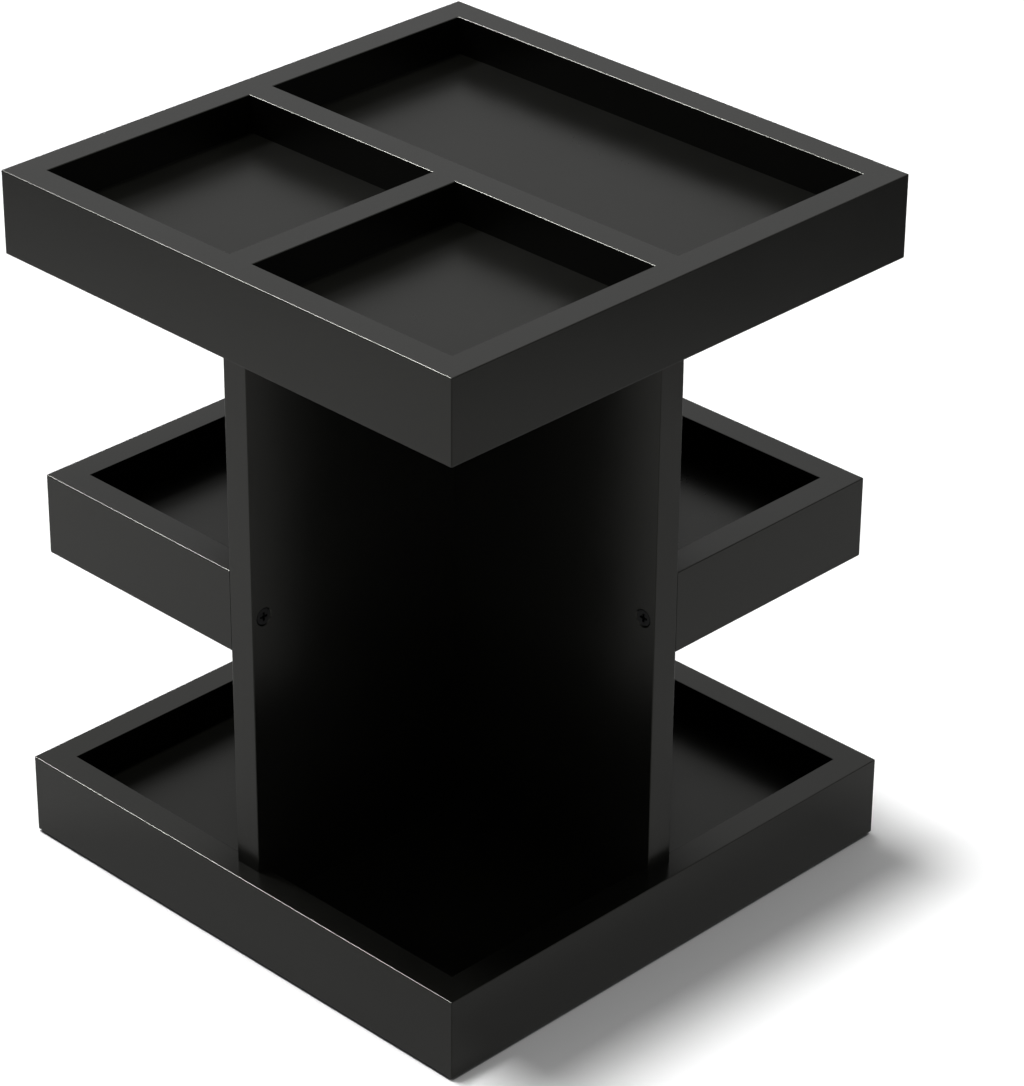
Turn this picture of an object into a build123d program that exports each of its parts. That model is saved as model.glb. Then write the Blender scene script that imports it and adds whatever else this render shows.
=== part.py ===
from build123d import *
from math import sqrt
import os

# Rotating perfume organizer: trays and crossed panels of painted board on a ball turntable.
# Millimetres, +Z up. The origin is where the turntable's axis meets the table.
# Front is -Y, back is +Y, left is -X and right is +X.

# Boards and trays
outer_width = 250.0     # bottom and top tray, side to side
board = 12.7            # thickness of rims, panels and dividers
floor_board = 7.0       # thickness of the tray floors
tray_height = 36.0      # rim of every tray
bay_height = 98.6       # clear height between one tray and the next
face_setback = 8.0      # mid trays and panel ends, in from the outer trays' faces
rim_lift = 1.2          # bottom rim above the table
edge_radius = 0.4       # softened edges of the painted boards
groove_depth = 3.0      # how far the floors are let into rims and panels
floor_gap = 0.2         # floor edge to the bottom of its groove
halving_gap = 0.1       # each side of the slots where the panels cross
notch_gap = 0.2         # panel notch to the inside of a rim

# Joinery
spline_thickness = 3.0  # loose tongue across each mitre
spline_width = 9.0
spline_stop = 6.0       # wood left above and below a tongue
dowel_radius = 3.0
dowel_in_panel = 15.0
dowel_in_divider = 10.0
dowel_spots = (45.0, 85.0)       # from the axis, under the dividers
screw_radius = 1.75
screw_head_radius = 3.4
screw_head_rim = 0.2             # straight edge of the head above its cone
screw_sink = 0.4                 # head below the board's face
tray_screw_length = 26.0
base_screw_length = 22.0
base_screw_spots = (62.0, 90.0)  # from the axis, along both panels
recess_arm = 3.8                 # cross recess in the screw heads
recess_slot = 1.1
recess_depth = 1.3
fit = 0.05                       # screws, dowels, tongues and rivets in their holes

# Turntable
foot_lift = 1.5         # rubber below the base disc
foot_radius = 7.0
foot_socket = 1.0       # rubber let into the base disc
foot_circle = 88.0
foot_count = 6
base_radius = 100.0
base_thickness = 4.2
bearing_height = 8.0    # outer face to outer face of the race plates
plate_thickness = 1.2
lower_plate_radius = 58.0
upper_plate_width = 130.0
upper_plate_corner = 9.0
plate_screw_inset = 9.0          # corner screws, in from the upper plate's edges
plate_screw_radius = 1.7
plate_screw_depth = 5.2          # into the bottom tray's floor
pan_head_radius = 3.5
pan_head_height = 2.2
access_radius = 7.0              # screwdriver hole in the base disc
race_radius = 48.0
ridge_half_width = 4.0           # flat top of the ridge that holds the race
ridge_slope = 2.0
ridge_gap = 1.6                  # between the two ridges, where the cage runs
ball_radius = 2.0
ball_count = 20
race_play = 0.1                  # ball to race
pocket_play = 0.15               # ball to cage
cage_thickness = 1.0
cage_half_width = 3.6
dish_radius = 11.0               # centre of each plate, pressed inwards
dish_rise = 1.6
eyelet_radius = 6.0
eyelet_wall = 1.0
eyelet_flange = 2.5
eyelet_play = 0.1                # flange over the upper plate
rivet_circle = 34.0
rivet_count = 4
rivet_radius = 2.0
rivet_head_radius = 3.8
rivet_head_height = 1.3

# Levels and places that follow
base_top = foot_lift + base_thickness
turntable_top = base_top + bearing_height
recess = turntable_top - rim_lift            # rim's lower edge up to the floor's underside
floor_rise = recess + floor_board            # rim's lower edge up to the floor's top face
tray_depth = tray_height - floor_rise
bottom_level = rim_lift
mid_level = bottom_level + tray_height + bay_height
top_level = mid_level + tray_height + bay_height
screw_level = mid_level + tray_height / 2
outer_half = outer_width / 2
inner_half = outer_half - board
mid_half = outer_half - face_setback
mid_inner = mid_half - board
panel_half = board / 2
panel_foot = bottom_level + floor_rise
panel_head = top_level + recess
halving_level = (panel_foot + panel_head) / 2
spline_height = tray_height - 2 * spline_stop
ball_level = base_top + bearing_height / 2
eyelet_hole = eyelet_radius + fit
plate_screw_offset = upper_plate_width / 2 - plate_screw_inset
sides = {"front": 0, "right": 90, "back": 180, "left": 270}

os.makedirs("parts", exist_ok=True)


def turned(profile):
    """A solid of revolution about Z from (radius, height) points."""
    with BuildPart() as piece:
        with BuildSketch(Plane.XZ):
            Polygon(*profile, align=None)
        revolve(axis=Axis.Z)
    return piece.part


def cross_recess(head_face):
    """The screwdriver's cross, cut down from the head's face."""
    with BuildPart() as cross:
        with BuildSketch(Plane.XY.offset(head_face)):
            Rectangle(recess_arm, recess_slot)
            Rectangle(recess_slot, recess_arm)
        extrude(amount=-recess_depth)
    return cross.part


def countersunk_screw(length):
    """A screw that points down -Z from a board's face at height 0, its head just below the face."""
    head_face = -screw_sink
    cone_top = head_face - screw_head_rim
    cone_foot = cone_top - (screw_head_radius - screw_radius)
    body = turned([
        (0, head_face),
        (screw_head_radius, head_face),
        (screw_head_radius, cone_top),
        (screw_radius, cone_foot),
        (screw_radius, screw_radius - length),
        (0, -length),
    ])
    cross = cross_recess(head_face)
    with BuildPart() as screw:
        add(body)
        add(cross, mode=Mode.SUBTRACT)
    return screw.part


def pan_head_screw():
    """A screw that points up +Z from a plate's face at height 0, with its head below."""
    head_edge = -pan_head_height / 2
    tip = plate_thickness + plate_screw_depth
    body = turned([
        (0, -pan_head_height),
        (pan_head_radius - pan_head_height / 2, -pan_head_height),
        (pan_head_radius, head_edge),
        (pan_head_radius, 0),
        (plate_screw_radius, 0),
        (plate_screw_radius, tip - plate_screw_radius),
        (0, tip),
    ])
    cross = cross_recess(recess_depth - pan_head_height)
    with BuildPart() as screw:
        add(body)
        add(cross, mode=Mode.SUBTRACT)
    return screw.part


def screw_hole(length):
    """Countersunk hole for a screw, cut down -Z from the board's face at the current place."""
    CounterSinkHole(
        radius=screw_radius + fit,
        counter_sink_radius=screw_head_radius + screw_head_rim + screw_sink + fit,
        depth=length + fit,
        counter_sink_angle=90,
    )


def race_section(edge_radius_of_plate):
    """Half section of a race plate as (radius, height), height 0 on its outer face."""
    ridge_top = (bearing_height - ridge_gap) / 2
    ridge_in = race_radius - ridge_half_width
    ridge_out = race_radius + ridge_half_width
    with BuildSketch() as section:
        Polygon(
            (eyelet_hole, dish_rise),
            (dish_radius, dish_rise),
            (dish_radius + dish_rise, 0),
            (edge_radius_of_plate, 0),
            (edge_radius_of_plate, plate_thickness),
            (ridge_out + ridge_slope, plate_thickness),
            (ridge_out, ridge_top),
            (ridge_in, ridge_top),
            (ridge_in - ridge_slope, plate_thickness),
            (dish_radius + dish_rise, plate_thickness),
            (dish_radius, dish_rise + plate_thickness),
            (eyelet_hole, dish_rise + plate_thickness),
            align=None,
        )
        with Locations((race_radius, bearing_height / 2)):
            Circle(ball_radius + race_play, mode=Mode.SUBTRACT)
    return section.sketch


def spline_spots(width, count):
    """Middle of the mitres at the corners of a tray, local X pointing out along the mitre."""
    return PolarLocations((width - board) / sqrt(2), count, start_angle=45)


def tray_frame(width, level, dividers=()):
    """All rim boards of a tray, and its dividers, as one body with softened edges."""
    inner_width = width - 2 * board
    with BuildPart() as frame:
        with BuildSketch(Plane.XY.offset(level)):
            Rectangle(width, width)
            Rectangle(inner_width, inner_width, mode=Mode.SUBTRACT)
        extrude(amount=tray_height)
        for centre, size in dividers:
            with BuildSketch(Plane.XY.offset(level + floor_rise)):
                with Locations(centre):
                    Rectangle(*size)
            extrude(amount=tray_depth)
        uprights = frame.edges().filter_by(Axis.Z)
        corners = uprights.sort_by(lambda edge: edge.center().X ** 2 + edge.center().Y ** 2)[-4:]
        top_edges = frame.faces().sort_by(Axis.Z)[-1].edges()
        lower_edges = frame.faces().sort_by(Axis.Z)[0].edges()
        fillet(corners + top_edges + lower_edges, edge_radius)
        with BuildSketch(Plane.XY.offset(level + recess)):
            Rectangle(inner_width + 2 * groove_depth, inner_width + 2 * groove_depth)
        extrude(amount=floor_board, mode=Mode.SUBTRACT)
        with BuildSketch(Plane.XY.offset(level + spline_stop)):
            with spline_spots(width, 4):
                Rectangle(spline_thickness + 2 * fit, spline_width + 2 * fit)
        extrude(amount=spline_height, mode=Mode.SUBTRACT)
    return frame.part


def mitred_board(frame, half_width, level, turn):
    """One board of a tray's rim, cut off at 45 degrees at both ends. Turn 0 is the front board."""
    inner = half_width - board
    reach = half_width + board
    with BuildPart() as piece:
        add(frame)
        with BuildSketch(Plane.XY.offset(level).rotated((0, 0, turn))):
            Polygon((-reach, -reach), (reach, -reach), (inner, -inner), (-inner, -inner), align=None)
        extrude(amount=tray_height, mode=Mode.INTERSECT)
    return piece.part


def mid_floor(gap, turn):
    """Floor of a mid tray, its inner corner cut away where the panels cross. Turn 0 is left."""
    far = mid_inner + groove_depth - gap
    near = panel_half - groove_depth + gap
    corner = panel_half + gap
    with BuildPart() as sheet:
        with BuildSketch(Plane.XY.offset(mid_level + recess).rotated((0, 0, turn))):
            Polygon(
                (-far, -far),
                (-near, -far),
                (-near, -corner),
                (-corner, -corner),
                (-corner, -near),
                (-far, -near),
                align=None,
            )
        extrude(amount=floor_board)
    return sheet.part


def upright_plan():
    """Side view of a panel. It stands on the bottom floor and rim, and ends in the top tray."""
    neck = inner_half - notch_gap
    rim_top = bottom_level + tray_height
    outline = [
        (neck, panel_foot),
        (neck, rim_top),
        (mid_half, rim_top),
        (mid_half, top_level),
        (neck, top_level),
        (neck, panel_head),
    ]
    mirrored = [(-across, height) for across, height in reversed(outline)]
    return Polygon(*outline, *mirrored, align=None)


def soften_ends(panel):
    """Rounds the four long upright edges at the panel's outer ends."""
    uprights = panel.edges().filter_by(Axis.Z)
    by_reach = uprights.sort_by(lambda edge: edge.center().X ** 2 + edge.center().Y ** 2)
    fillet(by_reach[-4:], edge_radius)


# Places of screws and dowels
rim_middle = mid_half - board / 2
tray_screw_faces = [
    Plane((panel_half, -rim_middle, screw_level), x_dir=(0, 1, 0), z_dir=(1, 0, 0)),
    Plane((-panel_half, rim_middle, screw_level), x_dir=(0, 1, 0), z_dir=(-1, 0, 0)),
    Plane((rim_middle, -panel_half, screw_level), x_dir=(1, 0, 0), z_dir=(0, -1, 0)),
    Plane((-rim_middle, panel_half, screw_level), x_dir=(1, 0, 0), z_dir=(0, 1, 0)),
]
base_screw_faces = []
for spot in base_screw_spots:
    for place in ((spot, 0), (-spot, 0), (0, spot), (0, -spot)):
        base_screw_faces.append(Plane((*place, turntable_top), z_dir=(0, 0, -1)))
dowel_places = []
for spot in dowel_spots:
    dowel_places += [(spot, 0), (-spot, 0), (0, -spot)]
plate_screw_places = [
    (plate_screw_offset * across, plate_screw_offset * along)
    for across in (-1, 1)
    for along in (-1, 1)
]
dowel_foot = panel_head - dowel_in_panel
dowel_length = dowel_in_panel + floor_board + dowel_in_divider


def upright_rods(radius, play):
    """Rods where the top dowels stand, longer than a dowel by the play at each end."""
    with BuildPart() as rods:
        with BuildSketch(Plane.XY.offset(dowel_foot - play)):
            with Locations(*dowel_places):
                Circle(radius)
        extrude(amount=dowel_length + 2 * play)
    return rods.part


def save(piece, name):
    """Labels a piece and writes it under its own name."""
    piece.label = name
    export_step(piece, f"parts/{name}.step")


dowel_holes = upright_rods(dowel_radius + fit, fit)
left_groove = mid_floor(0, sides["front"])
right_groove = mid_floor(0, sides["back"])


# Base disc, with sockets for the feet and a hole to reach the upper plate's screws
with BuildPart() as base_disc:
    with BuildSketch(Plane.XY.offset(foot_lift)):
        Circle(base_radius)
        Circle(eyelet_radius + eyelet_flange, mode=Mode.SUBTRACT)
        with Locations((plate_screw_offset, plate_screw_offset)):
            Circle(access_radius, mode=Mode.SUBTRACT)
    extrude(amount=base_thickness)
    rims = base_disc.edges().filter_by(GeomType.CIRCLE).sort_by(SortBy.RADIUS)[-2:]
    fillet(rims, edge_radius)
    with BuildSketch(Plane.XY.offset(foot_lift)):
        with PolarLocations(foot_circle, foot_count):
            Circle(foot_radius + fit)
    extrude(amount=foot_socket, mode=Mode.SUBTRACT)
    with Locations(Plane((0, 0, foot_lift), z_dir=(0, 0, -1))):
        with PolarLocations(rivet_circle, rivet_count, start_angle=45):
            CounterBoreHole(
                radius=rivet_radius + fit,
                counter_bore_radius=rivet_head_radius + fit,
                counter_bore_depth=rivet_head_height,
                depth=base_thickness,
            )
save(base_disc.part, "base_disc")

# Rubber feet, flat where they stand
pad = turned([
    (0, 0),
    (foot_radius - foot_lift / 2, 0),
    (foot_radius, foot_lift / 2),
    (foot_radius, foot_lift + foot_socket),
    (0, foot_lift + foot_socket),
])
with BuildPart() as rubber_feet:
    with PolarLocations(foot_circle, foot_count):
        add(pad)
save(rubber_feet.part, "rubber_feet")

# Lower race plate, round, riveted to the base disc
lower_section = race_section(lower_plate_radius)
with BuildPart() as lower_race_plate:
    with BuildSketch(Plane((0, 0, base_top), x_dir=(1, 0, 0), z_dir=(0, -1, 0))):
        add(lower_section)
    revolve(axis=Axis.Z)
    with BuildSketch(Plane.XY.offset(base_top)):
        with PolarLocations(rivet_circle, rivet_count, start_angle=45):
            Circle(rivet_radius + fit)
    extrude(amount=plate_thickness, mode=Mode.SUBTRACT)
save(lower_race_plate.part, "lower_race_plate")

# Upper race plate, square, the same race turned over
upper_section = race_section(upper_plate_width)
with BuildPart() as upper_race_plate:
    with BuildSketch(Plane((0, 0, turntable_top), x_dir=(1, 0, 0), z_dir=(0, 1, 0))):
        add(upper_section)
    revolve(axis=Axis.Z)
    with BuildSketch(Plane.XY.offset(turntable_top)):
        RectangleRounded(upper_plate_width, upper_plate_width, upper_plate_corner)
        with Locations(*plate_screw_places):
            Circle(plate_screw_radius + fit, mode=Mode.SUBTRACT)
    extrude(amount=-bearing_height, mode=Mode.INTERSECT)
save(upper_race_plate.part, "upper_race_plate")

# Hollow centre rivet: fixed in the lower plate, and the upper plate turns on it
lower_flange = base_top + dish_rise
upper_flange = turntable_top - dish_rise + eyelet_play
with BuildPart() as pivot_eyelet:
    with BuildSketch(Plane.XZ):
        Polygon(
            (eyelet_radius - eyelet_wall, lower_flange - eyelet_wall),
            (eyelet_radius + eyelet_flange, lower_flange - eyelet_wall),
            (eyelet_radius + eyelet_flange, lower_flange),
            (eyelet_radius, lower_flange),
            (eyelet_radius, upper_flange),
            (eyelet_radius + eyelet_flange, upper_flange),
            (eyelet_radius + eyelet_flange, upper_flange + eyelet_wall),
            (eyelet_radius - eyelet_wall, upper_flange + eyelet_wall),
            align=None,
        )
    revolve(axis=Axis.Z)
save(pivot_eyelet.part, "pivot_eyelet")

# Rivets through the lower plate and the base disc
rivet_head_foot = base_top + plate_thickness
rivet = turned([
    (0, foot_lift),
    (rivet_head_radius, foot_lift),
    (rivet_head_radius, foot_lift + rivet_head_height),
    (rivet_radius, foot_lift + rivet_head_height),
    (rivet_radius, rivet_head_foot),
    (rivet_head_radius, rivet_head_foot),
    (rivet_radius, rivet_head_foot + rivet_head_height),
    (0, rivet_head_foot + rivet_head_height),
])
with BuildPart() as base_rivets:
    with PolarLocations(rivet_circle, rivet_count, start_angle=45):
        add(rivet)
save(base_rivets.part, "base_rivets")

# Ball cage, and the balls in its pockets
with BuildPart() as ball_cage:
    with BuildSketch(Plane.XY.offset(ball_level - cage_thickness / 2)):
        Circle(race_radius + cage_half_width)
        Circle(race_radius - cage_half_width, mode=Mode.SUBTRACT)
        with PolarLocations(race_radius, ball_count):
            Circle(ball_radius + pocket_play, mode=Mode.SUBTRACT)
    extrude(amount=cage_thickness)
save(ball_cage.part, "ball_cage")

with BuildPart() as bearing_balls:
    with Locations((0, 0, ball_level)):
        with PolarLocations(race_radius, ball_count):
            Sphere(ball_radius)
save(bearing_balls.part, "bearing_balls")

# Screws that hold the upper race plate to the bottom tray's floor
plate_screw = pan_head_screw()
with BuildPart() as turntable_screws:
    with Locations((0, 0, turntable_top - plate_thickness)):
        with Locations(*plate_screw_places):
            add(plate_screw)
save(turntable_screws.part, "turntable_screws")

# Bottom tray
bottom_frame = tray_frame(outer_width, bottom_level)
for side, turn in sides.items():
    save(mitred_board(bottom_frame, outer_half, bottom_level, turn), f"bottom_rim_{side}")

floor_width = 2 * (inner_half + groove_depth - floor_gap)
with BuildPart() as bottom_tray_floor:
    with BuildSketch(Plane.XY.offset(turntable_top)):
        Rectangle(floor_width, floor_width)
    extrude(amount=floor_board)
    with Locations(*base_screw_faces):
        screw_hole(base_screw_length)
    with BuildSketch(Plane.XY.offset(turntable_top)):
        with Locations(*plate_screw_places):
            Circle(plate_screw_radius + fit)
    extrude(amount=plate_screw_depth + fit, mode=Mode.SUBTRACT)
save(bottom_tray_floor.part, "bottom_tray_floor")

with BuildPart() as bottom_corner_splines:
    with BuildSketch(Plane.XY.offset(bottom_level + spline_stop)):
        with spline_spots(outer_width, 4):
            Rectangle(spline_thickness, spline_width)
    extrude(amount=spline_height)
save(bottom_corner_splines.part, "bottom_corner_splines")

# Upright panels, halved into each other where they cross
with BuildPart() as panel_left_right:
    with BuildSketch(Plane.XZ):
        upright_plan()
    extrude(amount=panel_half, both=True)
    soften_ends(panel_left_right)
    with BuildSketch(Plane.XY.offset(halving_level)):
        Rectangle(board + 2 * halving_gap, 2 * board)
    extrude(amount=panel_head - halving_level, mode=Mode.SUBTRACT)
    add(left_groove, mode=Mode.SUBTRACT)
    add(right_groove, mode=Mode.SUBTRACT)
    with Locations(*tray_screw_faces[2:]):
        screw_hole(tray_screw_length)
    with Locations(*base_screw_faces):
        screw_hole(base_screw_length)
    add(dowel_holes, mode=Mode.SUBTRACT)
save(panel_left_right.part, "panel_left_right")

with BuildPart() as panel_front_back:
    with BuildSketch(Plane.YZ):
        upright_plan()
    extrude(amount=panel_half, both=True)
    soften_ends(panel_front_back)
    with BuildSketch(Plane.XY.offset(halving_level)):
        Rectangle(2 * board, board + 2 * halving_gap)
    extrude(amount=panel_foot - halving_level, mode=Mode.SUBTRACT)
    add(left_groove, mode=Mode.SUBTRACT)
    add(right_groove, mode=Mode.SUBTRACT)
    with Locations(*tray_screw_faces[:2]):
        screw_hole(tray_screw_length)
    with Locations(*base_screw_faces):
        screw_hole(base_screw_length)
    add(dowel_holes, mode=Mode.SUBTRACT)
save(panel_front_back.part, "panel_front_back")

base_screw = countersunk_screw(base_screw_length)
with BuildPart() as panel_base_screws:
    with Locations(*base_screw_faces):
        add(base_screw)
save(panel_base_screws.part, "panel_base_screws")

# Mid trays: the left one lies between front and left, the right one between back and right
plain_mid_frame = tray_frame(2 * mid_half, mid_level)
with BuildPart() as mid_frame:
    add(plain_mid_frame)
    with Locations(*tray_screw_faces):
        screw_hole(tray_screw_length)

mid_rims = {
    "left_tray_front_rim": (sides["front"], -1),
    "left_tray_side_rim": (sides["left"], -1),
    "right_tray_back_rim": (sides["back"], 1),
    "right_tray_side_rim": (sides["right"], 1),
}
for name, (turn, quarter) in mid_rims.items():
    whole_side = mitred_board(mid_frame.part, mid_half, mid_level, turn)
    corner = Align.MIN if quarter > 0 else Align.MAX
    with BuildPart() as mid_rim:
        add(whole_side)
        with BuildSketch(Plane.XY.offset(mid_level)):
            with Locations((quarter * panel_half, quarter * panel_half)):
                Rectangle(outer_width, outer_width, align=(corner, corner))
        extrude(amount=tray_height, mode=Mode.INTERSECT)
    save(mid_rim.part, name)

save(mid_floor(floor_gap, sides["front"]), "left_tray_floor")
save(mid_floor(floor_gap, sides["back"]), "right_tray_floor")

tray_screw = countersunk_screw(tray_screw_length)
with BuildPart() as mid_tray_screws:
    with Locations(*tray_screw_faces):
        add(tray_screw)
save(mid_tray_screws.part, "mid_tray_screws")

with BuildPart() as mid_tray_splines:
    with BuildSketch(Plane.XY.offset(mid_level + spline_stop)):
        with spline_spots(2 * mid_half, 2):
            Rectangle(spline_thickness, spline_width)
    extrude(amount=spline_height)
save(mid_tray_splines.part, "mid_tray_splines")

# Top tray: rims and dividers share one softened top surface, then come apart at their joints
short_length = inner_half - panel_half
short_middle = -(inner_half + panel_half) / 2
top_frame = tray_frame(
    outer_width,
    top_level,
    dividers=[((0, 0), (2 * inner_half, board)), ((0, short_middle), (board, short_length))],
)
for side, turn in sides.items():
    save(mitred_board(top_frame, outer_half, top_level, turn), f"top_rim_{side}")

with BuildPart() as long_divider:
    add(top_frame)
    with BuildSketch(Plane.XY.offset(top_level + floor_rise)):
        Rectangle(2 * inner_half, board)
    extrude(amount=tray_depth, mode=Mode.INTERSECT)
    add(dowel_holes, mode=Mode.SUBTRACT)
save(long_divider.part, "long_divider")

with BuildPart() as short_divider:
    add(top_frame)
    with BuildSketch(Plane.XY.offset(top_level + floor_rise)):
        with Locations((0, short_middle)):
            Rectangle(2 * board, short_length)
    extrude(amount=tray_depth, mode=Mode.INTERSECT)
    add(dowel_holes, mode=Mode.SUBTRACT)
save(short_divider.part, "short_divider")

with BuildPart() as top_tray_floor:
    with BuildSketch(Plane.XY.offset(panel_head)):
        Rectangle(floor_width, floor_width)
    extrude(amount=floor_board)
    add(dowel_holes, mode=Mode.SUBTRACT)
save(top_tray_floor.part, "top_tray_floor")

save(upright_rods(dowel_radius, 0), "top_dowels")

with BuildPart() as top_corner_splines:
    with BuildSketch(Plane.XY.offset(top_level + spline_stop)):
        with spline_spots(outer_width, 4):
            Rectangle(spline_thickness, spline_width)
    extrude(amount=spline_height)
save(top_corner_splines.part, "top_corner_splines")
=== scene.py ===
import math

import bpy
from mathutils import Matrix, Vector

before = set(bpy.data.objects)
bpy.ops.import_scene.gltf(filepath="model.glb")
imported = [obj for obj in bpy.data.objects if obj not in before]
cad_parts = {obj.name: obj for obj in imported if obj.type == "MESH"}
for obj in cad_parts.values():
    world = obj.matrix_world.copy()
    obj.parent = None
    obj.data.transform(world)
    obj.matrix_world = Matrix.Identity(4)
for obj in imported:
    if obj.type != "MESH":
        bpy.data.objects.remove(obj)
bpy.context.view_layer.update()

MM = 0.001


# Camera, from the photograph's straight edges
CAMERA_AZIMUTH = math.radians(44.549)
CAMERA_ELEVATION = math.radians(29.272)
CAMERA_ROLL = math.radians(0.447)
CAMERA_PLACE = Vector((23.108, -8.052, 1721.682)) * MM   # right, up and back from the aim
CAMERA_AIM = Vector((0, 0, 0.150))
CAMERA_NEAREST = 0.05   # metres
CAMERA_FARTHEST = 60
FOCAL_PIXELS = 4225.93
FRAME_HEIGHT_PIXELS = 1086
SENSOR_MM = 36.0


def make_camera():
    azimuth, elevation = CAMERA_AZIMUTH, CAMERA_ELEVATION
    back = Vector((
        math.sin(azimuth) * math.cos(elevation),
        -math.cos(azimuth) * math.cos(elevation),
        math.sin(elevation),
    ))
    level_right = Vector((math.cos(azimuth), math.sin(azimuth), 0))
    level_up = back.cross(level_right)
    right = math.cos(CAMERA_ROLL) * level_right + math.sin(CAMERA_ROLL) * level_up
    up = -math.sin(CAMERA_ROLL) * level_right + math.cos(CAMERA_ROLL) * level_up
    turn = Matrix((right, up, back)).transposed()
    data = bpy.data.cameras.new("camera")
    data.sensor_width = SENSOR_MM
    data.lens = FOCAL_PIXELS * SENSOR_MM / FRAME_HEIGHT_PIXELS
    data.clip_start = CAMERA_NEAREST
    data.clip_end = CAMERA_FARTHEST
    camera = bpy.data.objects.new("camera", data)
    camera.matrix_world = Matrix.Translation(CAMERA_AIM + turn @ CAMERA_PLACE) @ turn.to_4x4()
    bpy.context.scene.collection.objects.link(camera)
    bpy.context.scene.camera = camera


class Nodes:
    """A short way to write the nodes of their owner, a new material or world."""

    def __init__(self, owner, output="OutputMaterial"):
        owner.use_nodes = True
        self.owner = owner
        self.tree = owner.node_tree
        self.tree.nodes.clear()
        self.output = self.add(output)

    def link(self, source, target):
        self.tree.links.new(source, target)

    def add(self, kind, inputs=None, **settings):
        """A node of this kind; an input is a value, or the socket that it comes from."""
        node = self.tree.nodes.new("ShaderNode" + kind)
        for key, value in settings.items():
            setattr(node, key, value)
        for key, value in (inputs or {}).items():
            if isinstance(value, bpy.types.NodeSocket):
                self.link(value, node.inputs[key])
            else:
                node.inputs[key].default_value = value
        return node

    def math(self, operation, *values):
        return self.add("Math", dict(enumerate(values)), operation=operation).outputs[0]

    def place(self):
        """Where a point lies on the object at rest, in metres."""
        return self.add("TexCoord").outputs["Object"]

    def stretched(self, factors):
        """That place with each direction multiplied by its own factor."""
        inputs = {0: self.place(), 1: factors}
        return self.add("VectorMath", inputs, operation="MULTIPLY").outputs[0]

    def noise(self, size, detail=2.0, roughness=0.5, vector=None):
        """Noise whose features are about size metres across, from 0 to 1."""
        texture = self.add("TexNoise", {
            "Vector": vector or self.place(),
            "Scale": 1 / size,
            "Detail": detail,
            "Roughness": roughness,
        })
        return texture.outputs["Fac"]

    def remap(self, value, old_span, new_span=(0, 1), curve="LINEAR"):
        """A value of the old span brought to the new one, and kept within it."""
        inputs = {
            "Value": value,
            "From Min": old_span[0],
            "From Max": old_span[1],
            "To Min": new_span[0],
            "To Max": new_span[1],
        }
        return self.add("MapRange", inputs, interpolation_type=curve).outputs["Result"]

    def ramp(self, value, reach, peak, stops):
        """Straight runs between (value, result) stops, within reach of zero and up to peak."""
        node = self.add("ValToRGB", {"Fac": self.remap(value, (-reach, reach))})
        elements = node.color_ramp.elements
        for place, result in stops:
            element = elements.new((place / reach + 1) / 2)
            element.color = (result / peak,) * 3 + (1,)
        elements.remove(elements[0])
        elements.remove(elements[-1])
        return self.math("MULTIPLY", node.outputs["Color"], peak)

    def mix(self, factor, first, second):
        """Colour between first and second, by factor."""
        first, second = (
            (*colour, 1) if isinstance(colour, tuple) else colour for colour in (first, second)
        )
        return self.add("Mix", {0: factor, 6: first, 7: second}, data_type="RGBA").outputs[2]

    def blend(self, factor, first, second):
        """Shader between first and second, by factor."""
        return self.add("MixShader", {0: factor, 1: first.outputs[0], 2: second.outputs[0]})

    def bump(self, height, depth, strength=1.0, normal=None):
        """Relief of depth metres from a height of 0 to 1."""
        inputs = {"Height": height, "Distance": depth, "Strength": strength}
        if normal:
            inputs["Normal"] = normal
        return self.add("Bump", inputs).outputs["Normal"]

    def end(self, shader):
        """Links the last shader to the output and gives back the owner."""
        self.link(shader.outputs[0], self.output.inputs["Surface"])
        return self.owner

    def finish(self, **inputs):
        """Ends in one shader; names are those of the shader's sockets with _ for a space."""
        named = {key.replace("_", " "): value for key, value in inputs.items()}
        return self.end(self.add("BsdfPrincipled", named))


def new_material(name):
    return Nodes(bpy.data.materials.new(name))


def satin_paint(name, gloss=0.23, shine=0.165):
    """Sprayed black satin paint on board: faint orange peel, soft cloudiness and a little dust."""
    thin, thick = (0.0013, 0.0013, 0.001), (0.0032, 0.0032, 0.0026)
    dust = (0.2, 0.19, 0.18)
    warm_shine = (1, 1, 0.91, 1)
    nodes = new_material(name)
    cloud = nodes.noise(50 * MM, detail=3)
    fine = nodes.noise(1.6 * MM, detail=1)
    speck = nodes.remap(nodes.noise(0.9 * MM, detail=0), (0.76, 0.82), (0, 0.012))
    soft = nodes.remap(cloud, (0.3, 0.7), (gloss - 0.02, gloss + 0.02))
    peel = nodes.bump(fine, 0.012 * MM, strength=0.35)
    return nodes.finish(
        Base_Color=nodes.mix(speck, nodes.mix(cloud, thin, thick), dust),
        Roughness=nodes.math("MULTIPLY_ADD", fine, 0.03, soft),
        Specular_IOR_Level=shine,
        Specular_Tint=warm_shine,
        Normal=nodes.bump(nodes.noise(12 * MM), 0.04 * MM, strength=0.2, normal=peel),
    )


def screw_black(name):
    """Black-oxide steel: satin, with brown-grey bare metal where a driver has rubbed."""
    oxide, rubbed = (0.003, 0.003, 0.003), (0.03, 0.028, 0.026)
    nodes = new_material(name)
    wear = nodes.remap(nodes.noise(1.2 * MM, detail=4, roughness=0.7), (0.62, 0.7), (0, 0.35))
    return nodes.finish(
        Base_Color=nodes.mix(wear, oxide, rubbed),
        Roughness=nodes.remap(nodes.noise(2 * MM), (0.3, 0.7), (0.3, 0.42)),
        Specular_IOR_Level=0.12,
        Normal=nodes.bump(nodes.noise(0.4 * MM), 0.01 * MM, strength=0.6),
    )


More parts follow.
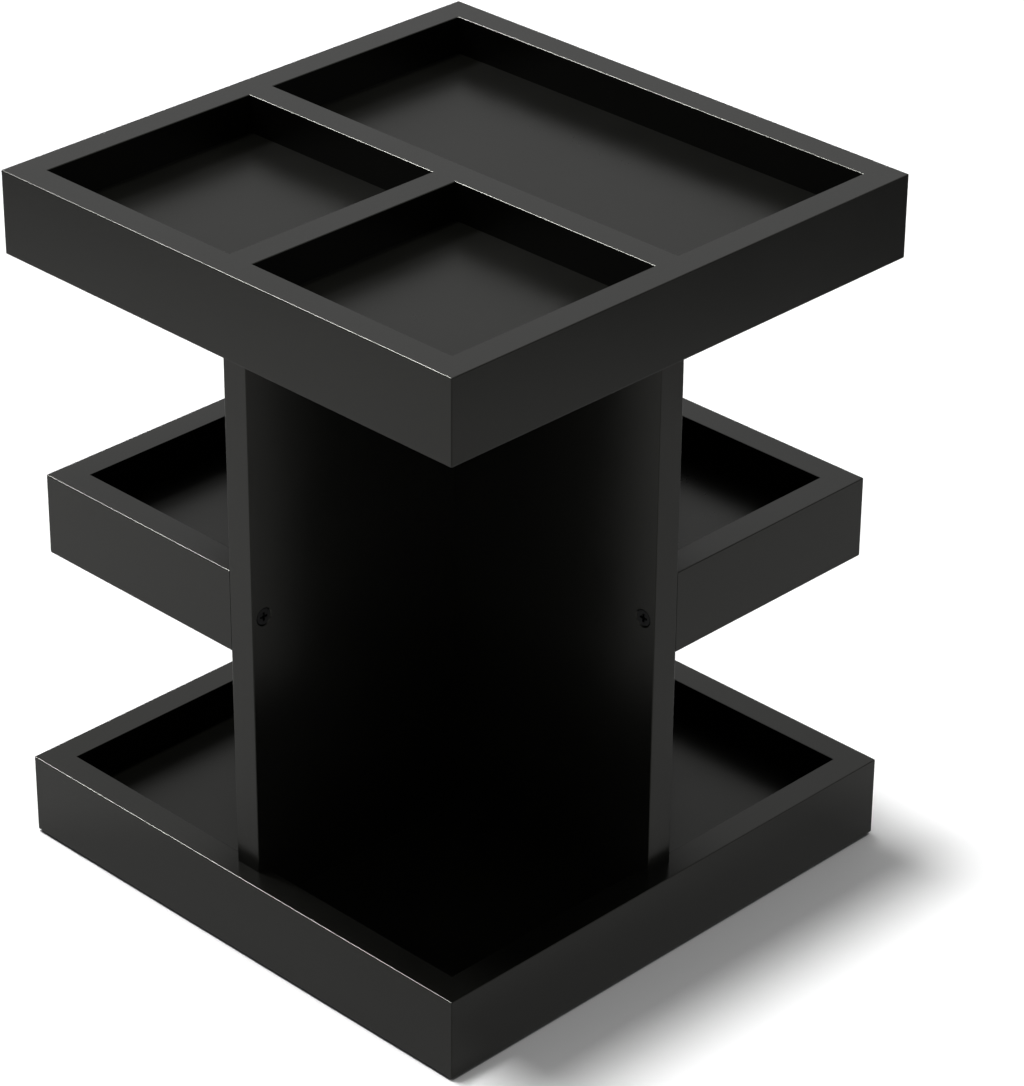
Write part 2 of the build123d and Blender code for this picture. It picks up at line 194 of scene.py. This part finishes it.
def zinc_plate(name):
    """Bright zinc plating on pressed steel: bluish, with faint spangle and rolling marks."""
    bluish, yellowish, stained = (0.56, 0.57, 0.6), (0.68, 0.66, 0.62), (0.42, 0.4, 0.36)
    spangles_per_metre = 420.0
    nodes = new_material(name)
    inputs = {"Vector": nodes.place(), "Scale": spangles_per_metre}
    spangle = nodes.add("TexVoronoi", inputs).outputs["Distance"]
    streak = nodes.noise(30 * MM, detail=4, roughness=0.6, vector=nodes.stretched((1, 12, 1)))
    stain = nodes.remap(nodes.noise(18 * MM, detail=4, roughness=0.65), (0.6, 0.72), (0, 0.5))
    return nodes.finish(
        Base_Color=nodes.mix(stain, nodes.mix(streak, bluish, yellowish), stained),
        Metallic=1.0,
        Roughness=nodes.remap(spangle, (0.0, 0.9), (0.26, 0.42)),
        Normal=nodes.bump(nodes.noise(0.7 * MM, detail=3), 0.01 * MM, strength=0.5),
    )


def polished_ball(name):
    """Hardened bearing balls: mirror finish with a film of grease."""
    steel, grease = (0.74, 0.74, 0.76), (0.62, 0.58, 0.48)
    nodes = new_material(name)
    film = nodes.remap(nodes.noise(1.2 * MM), (0.45, 0.65))
    return nodes.finish(
        Base_Color=nodes.mix(film, steel, grease),
        Metallic=1.0,
        Roughness=nodes.remap(film, (0, 1), (0.06, 0.2)),
        Normal=nodes.bump(nodes.noise(0.3 * MM, detail=1), 0.002 * MM, strength=0.3),
    )


def moulded_plastic(name, colour, scuffed, gloss=0.5):
    """Injection-moulded plastic with a spark-eroded surface and pale scuffs."""
    nodes = new_material(name)
    grit = nodes.noise(0.4 * MM, detail=3, roughness=0.6)
    scuff = nodes.noise(20 * MM, detail=5, roughness=0.7)
    return nodes.finish(
        Base_Color=nodes.mix(scuff, colour, scuffed),
        Roughness=nodes.remap(scuff, (0.3, 0.7), (gloss - 0.06, gloss + 0.08)),
        Specular_IOR_Level=0.4,
        Normal=nodes.bump(grit, 0.02 * MM, strength=0.8),
    )


def rubber(name):
    """Matt rubber with a little dust picked up from the table."""
    clean, dusty = (0.09, 0.09, 0.09), (0.2, 0.19, 0.18)
    most_dust = 0.5
    nodes = new_material(name)
    dust = nodes.remap(nodes.noise(3 * MM, detail=5, roughness=0.7), (0.5, 0.75), (0, most_dust))
    return nodes.finish(
        Base_Color=nodes.mix(dust, clean, dusty),
        Roughness=nodes.remap(dust, (0, most_dust), (0.72, 0.92)),
        Specular_IOR_Level=0.3,
        Normal=nodes.bump(nodes.noise(0.5 * MM, detail=3), 0.03 * MM, strength=0.7),
    )


def beech(name):
    """Bare beech: pale grain along the rod or tongue, with short dark flecks."""
    dark, light, flecked = (0.52, 0.34, 0.2), (0.66, 0.48, 0.31), (0.25, 0.13, 0.065)
    nodes = new_material(name)
    long_grain = nodes.stretched((1, 1, 0.06))
    grain = nodes.noise(1.1 * MM, detail=4, roughness=0.6, vector=long_grain)
    fleck = nodes.remap(nodes.noise(0.6 * MM, detail=0, vector=long_grain), (0.66, 0.72), (0, 0.55))
    return nodes.finish(
        Base_Color=nodes.mix(fleck, nodes.mix(grain, dark, light), flecked),
        Roughness=nodes.remap(grain, (0.2, 0.8), (0.55, 0.75)),
        Specular_IOR_Level=0.3,
        Normal=nodes.bump(grain, 0.04 * MM, strength=0.7),
    )


ZINC_PLATED = (
    "upper_race_plate", "lower_race_plate", "pivot_eyelet", "base_rivets",
    "turntable_screws", "panel_base_screws",
)
WOODEN = ("bottom_corner_splines", "mid_tray_splines", "top_corner_splines", "top_dowels")
PAINTED = (
    "bottom_rim_front", "bottom_rim_right", "bottom_rim_back", "bottom_rim_left",
    "panel_left_right", "panel_front_back",
    "left_tray_front_rim", "left_tray_side_rim", "right_tray_back_rim", "right_tray_side_rim",
    "top_rim_front", "top_rim_right", "top_rim_back", "top_rim_left",
    "long_divider", "short_divider",
)
FLOORS = ("bottom_tray_floor", "left_tray_floor", "right_tray_floor", "top_tray_floor")
BLACK_PLASTIC = (0.016, 0.016, 0.017), (0.026, 0.026, 0.027)   # as moulded, and scuffed
NATURAL_NYLON = (0.74, 0.73, 0.68), (0.82, 0.81, 0.77)


def dress():
    """Gives every CAD node its material."""
    for material, names in (
        (zinc_plate("zinc_plate"), ZINC_PLATED),
        (beech("bare_beech"), WOODEN),
        (satin_paint("board_paint"), PAINTED),
        (satin_paint("floor_paint", gloss=0.28, shine=0.128), FLOORS),
        (screw_black("black_screw"), ("mid_tray_screws",)),
        (moulded_plastic("base_plastic", *BLACK_PLASTIC), ("base_disc",)),
        (moulded_plastic("cage_nylon", *NATURAL_NYLON, gloss=0.4), ("ball_cage",)),
        (rubber("foot_rubber"), ("rubber_feet",)),
        (polished_ball("ball_steel"), ("bearing_balls",)),
    ):
        for name in names:
            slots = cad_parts[name].data.materials
            slots.clear()
            slots.append(material)


# The two suns: where from, how strong and how wide
KEY_FROM = Vector((-0.144, -0.042, 1))
KEY_STRENGTH = 2.35
KEY_ANGLE = math.radians(9)
STRIP_FROM = Vector((-0.637, -0.12, 0.761))   # seen in gloss only, where it brightens edges along X
STRIP_STRENGTH = 10.75
STRIP_ANGLE = math.radians(9)

# The world's light
AMBIENT = 0.33             # its strength where it isn't seen as background
SKY_RISE = (0.2, 0.42)     # sine of the height where it starts to brighten in gloss, and where it stops
SKY_GLOSS = (0.45, 1.08)   # its strength in gloss below and above

# The floor
FLOOR_SIZE = 24
FLOOR_ALBEDO = 0.8
FLOOR_SHOWN = 1.12            # its colour where it is seen as background
CONTACT_SHADE_REACH = 3 * MM        # painted contact shade: the floor darkens where something hangs this close above it
CONTACT_SHADE_OPEN = (0.34, 0.62)   # share of open directions where it is darkest, and where it is white
CONTACT_SHADE_TONE = 0.05           # how much of the white is left where the painted shade is darkest

# The floor's tone in gloss, at places along the diagonal to the right and back: a painted pool of light
# and painted shade, seen only in reflections
PAINTED_POOL_REACH = 1.0   # metres each way
PAINTED_POOL_PEAK = 1.4    # above every tone in the list
PAINTED_POOL_GLOW = 0.4    # share of the painted tone that glows by itself though the floor is no lamp, so that no shadow falls on it
PAINTED_POOL = (           # metres, and the painted tone there
    (-0.85, 0.65),
    (-0.70, 1.10),
    (-0.60, 1.35),
    (-0.40, 1.27),
    (-0.20, 1.10),
    (-0.17, 0.85),
    (-0.04, 0.85),
    (0.03, 0.95),
    (0.17, 0.92),
    (0.20, 0.78),
    (0.26, 0.93),
    (0.36, 0.86),
    (0.46, 0.84),
    (0.56, 0.98),
    (0.65, 0.55),
    (0.76, 0.20),
)


def make_sun(name, came_from, strength, angle, gloss_only=False):
    data = bpy.data.lights.new(name, "SUN")
    data.energy = strength
    data.angle = angle
    lamp = bpy.data.objects.new(name, data)
    lamp.rotation_mode = "QUATERNION"
    lamp.rotation_quaternion = came_from.to_track_quat("Z", "Y")
    lamp.visible_diffuse = not gloss_only
    bpy.context.scene.collection.objects.link(lamp)


def seen_rays(nodes):
    """1 for the rays that show the background: straight to the camera, off gloss or through glass."""
    path = nodes.add("LightPath")
    either = nodes.math("MAXIMUM", path.outputs["Is Camera Ray"], path.outputs["Is Glossy Ray"])
    return nodes.math("MAXIMUM", either, path.outputs["Is Transmission Ray"])


def gloss_rays(nodes):
    """1 for the rays off gloss."""
    return nodes.add("LightPath").outputs["Is Glossy Ray"]


def make_floor():
    """A white floor that keeps the shadow, with painted contact shade where something hangs close above
    it. In gloss it shows a painted pool of light and painted shade along a diagonal, part of it glowing
    so that no shadow falls on it.
    """
    bpy.ops.mesh.primitive_plane_add(size=FLOOR_SIZE)
    floor = bpy.context.object
    floor.name = "floor"
    nodes = new_material("floor")
    # Painted contact shade: the floor's shown colour darkens where something hangs close above it
    painted_shade_openness = nodes.add("AmbientOcclusion", {"Distance": CONTACT_SHADE_REACH}).outputs["AO"]
    shown = nodes.remap(painted_shade_openness, CONTACT_SHADE_OPEN, (FLOOR_SHOWN * CONTACT_SHADE_TONE, FLOOR_SHOWN))
    white = nodes.add("BsdfDiffuse", {
        "Color": nodes.mix(seen_rays(nodes), (FLOOR_ALBEDO,) * 3, shown),
    })
    spot = nodes.add("SeparateXYZ", {"Vector": nodes.place()})
    diagonal = nodes.math("ADD", spot.outputs["X"], spot.outputs["Y"])
    along = nodes.math("MULTIPLY", diagonal, math.sqrt(0.5))
    # Painted light and shade seen only in reflections: tones along the diagonal, partly lit and partly
    # glowing though the floor is no lamp
    painted_pool_tone = nodes.ramp(along, PAINTED_POOL_REACH, PAINTED_POOL_PEAK, PAINTED_POOL)
    painted_pool_diffuse = nodes.add("BsdfDiffuse", {"Color": painted_pool_tone})
    painted_glow = nodes.add("Emission", {"Color": painted_pool_tone})
    painted_reflection = nodes.blend(PAINTED_POOL_GLOW, painted_pool_diffuse, painted_glow)
    both = nodes.blend(gloss_rays(nodes), white, painted_reflection)
    floor.data.materials.append(nodes.end(both))


def make_world():
    """White as background, darker near the horizon in gloss, and a low light for all the rest."""
    world = bpy.data.worlds.new("world")
    nodes = Nodes(world, "OutputWorld")
    direction = nodes.add("TexCoord").outputs["Generated"]
    height = nodes.add("SeparateXYZ", {"Vector": direction}).outputs["Z"]
    sky = nodes.remap(height, SKY_RISE, SKY_GLOSS, "SMOOTHSTEP")
    shown = nodes.remap(gloss_rays(nodes), (0, 1), (1, sky))
    level = nodes.remap(seen_rays(nodes), (0, 1), (AMBIENT, shown))
    nodes.end(nodes.add("Background", {"Color": (1, 1, 1, 1), "Strength": level}))
    bpy.context.scene.world = world


make_camera()
dress()
make_world()
make_floor()
make_sun("key", KEY_FROM, KEY_STRENGTH, KEY_ANGLE)
make_sun("edge_strip", STRIP_FROM, STRIP_STRENGTH, STRIP_ANGLE, gloss_only=True)

bpy.context.scene.view_settings.view_transform = "Standard"
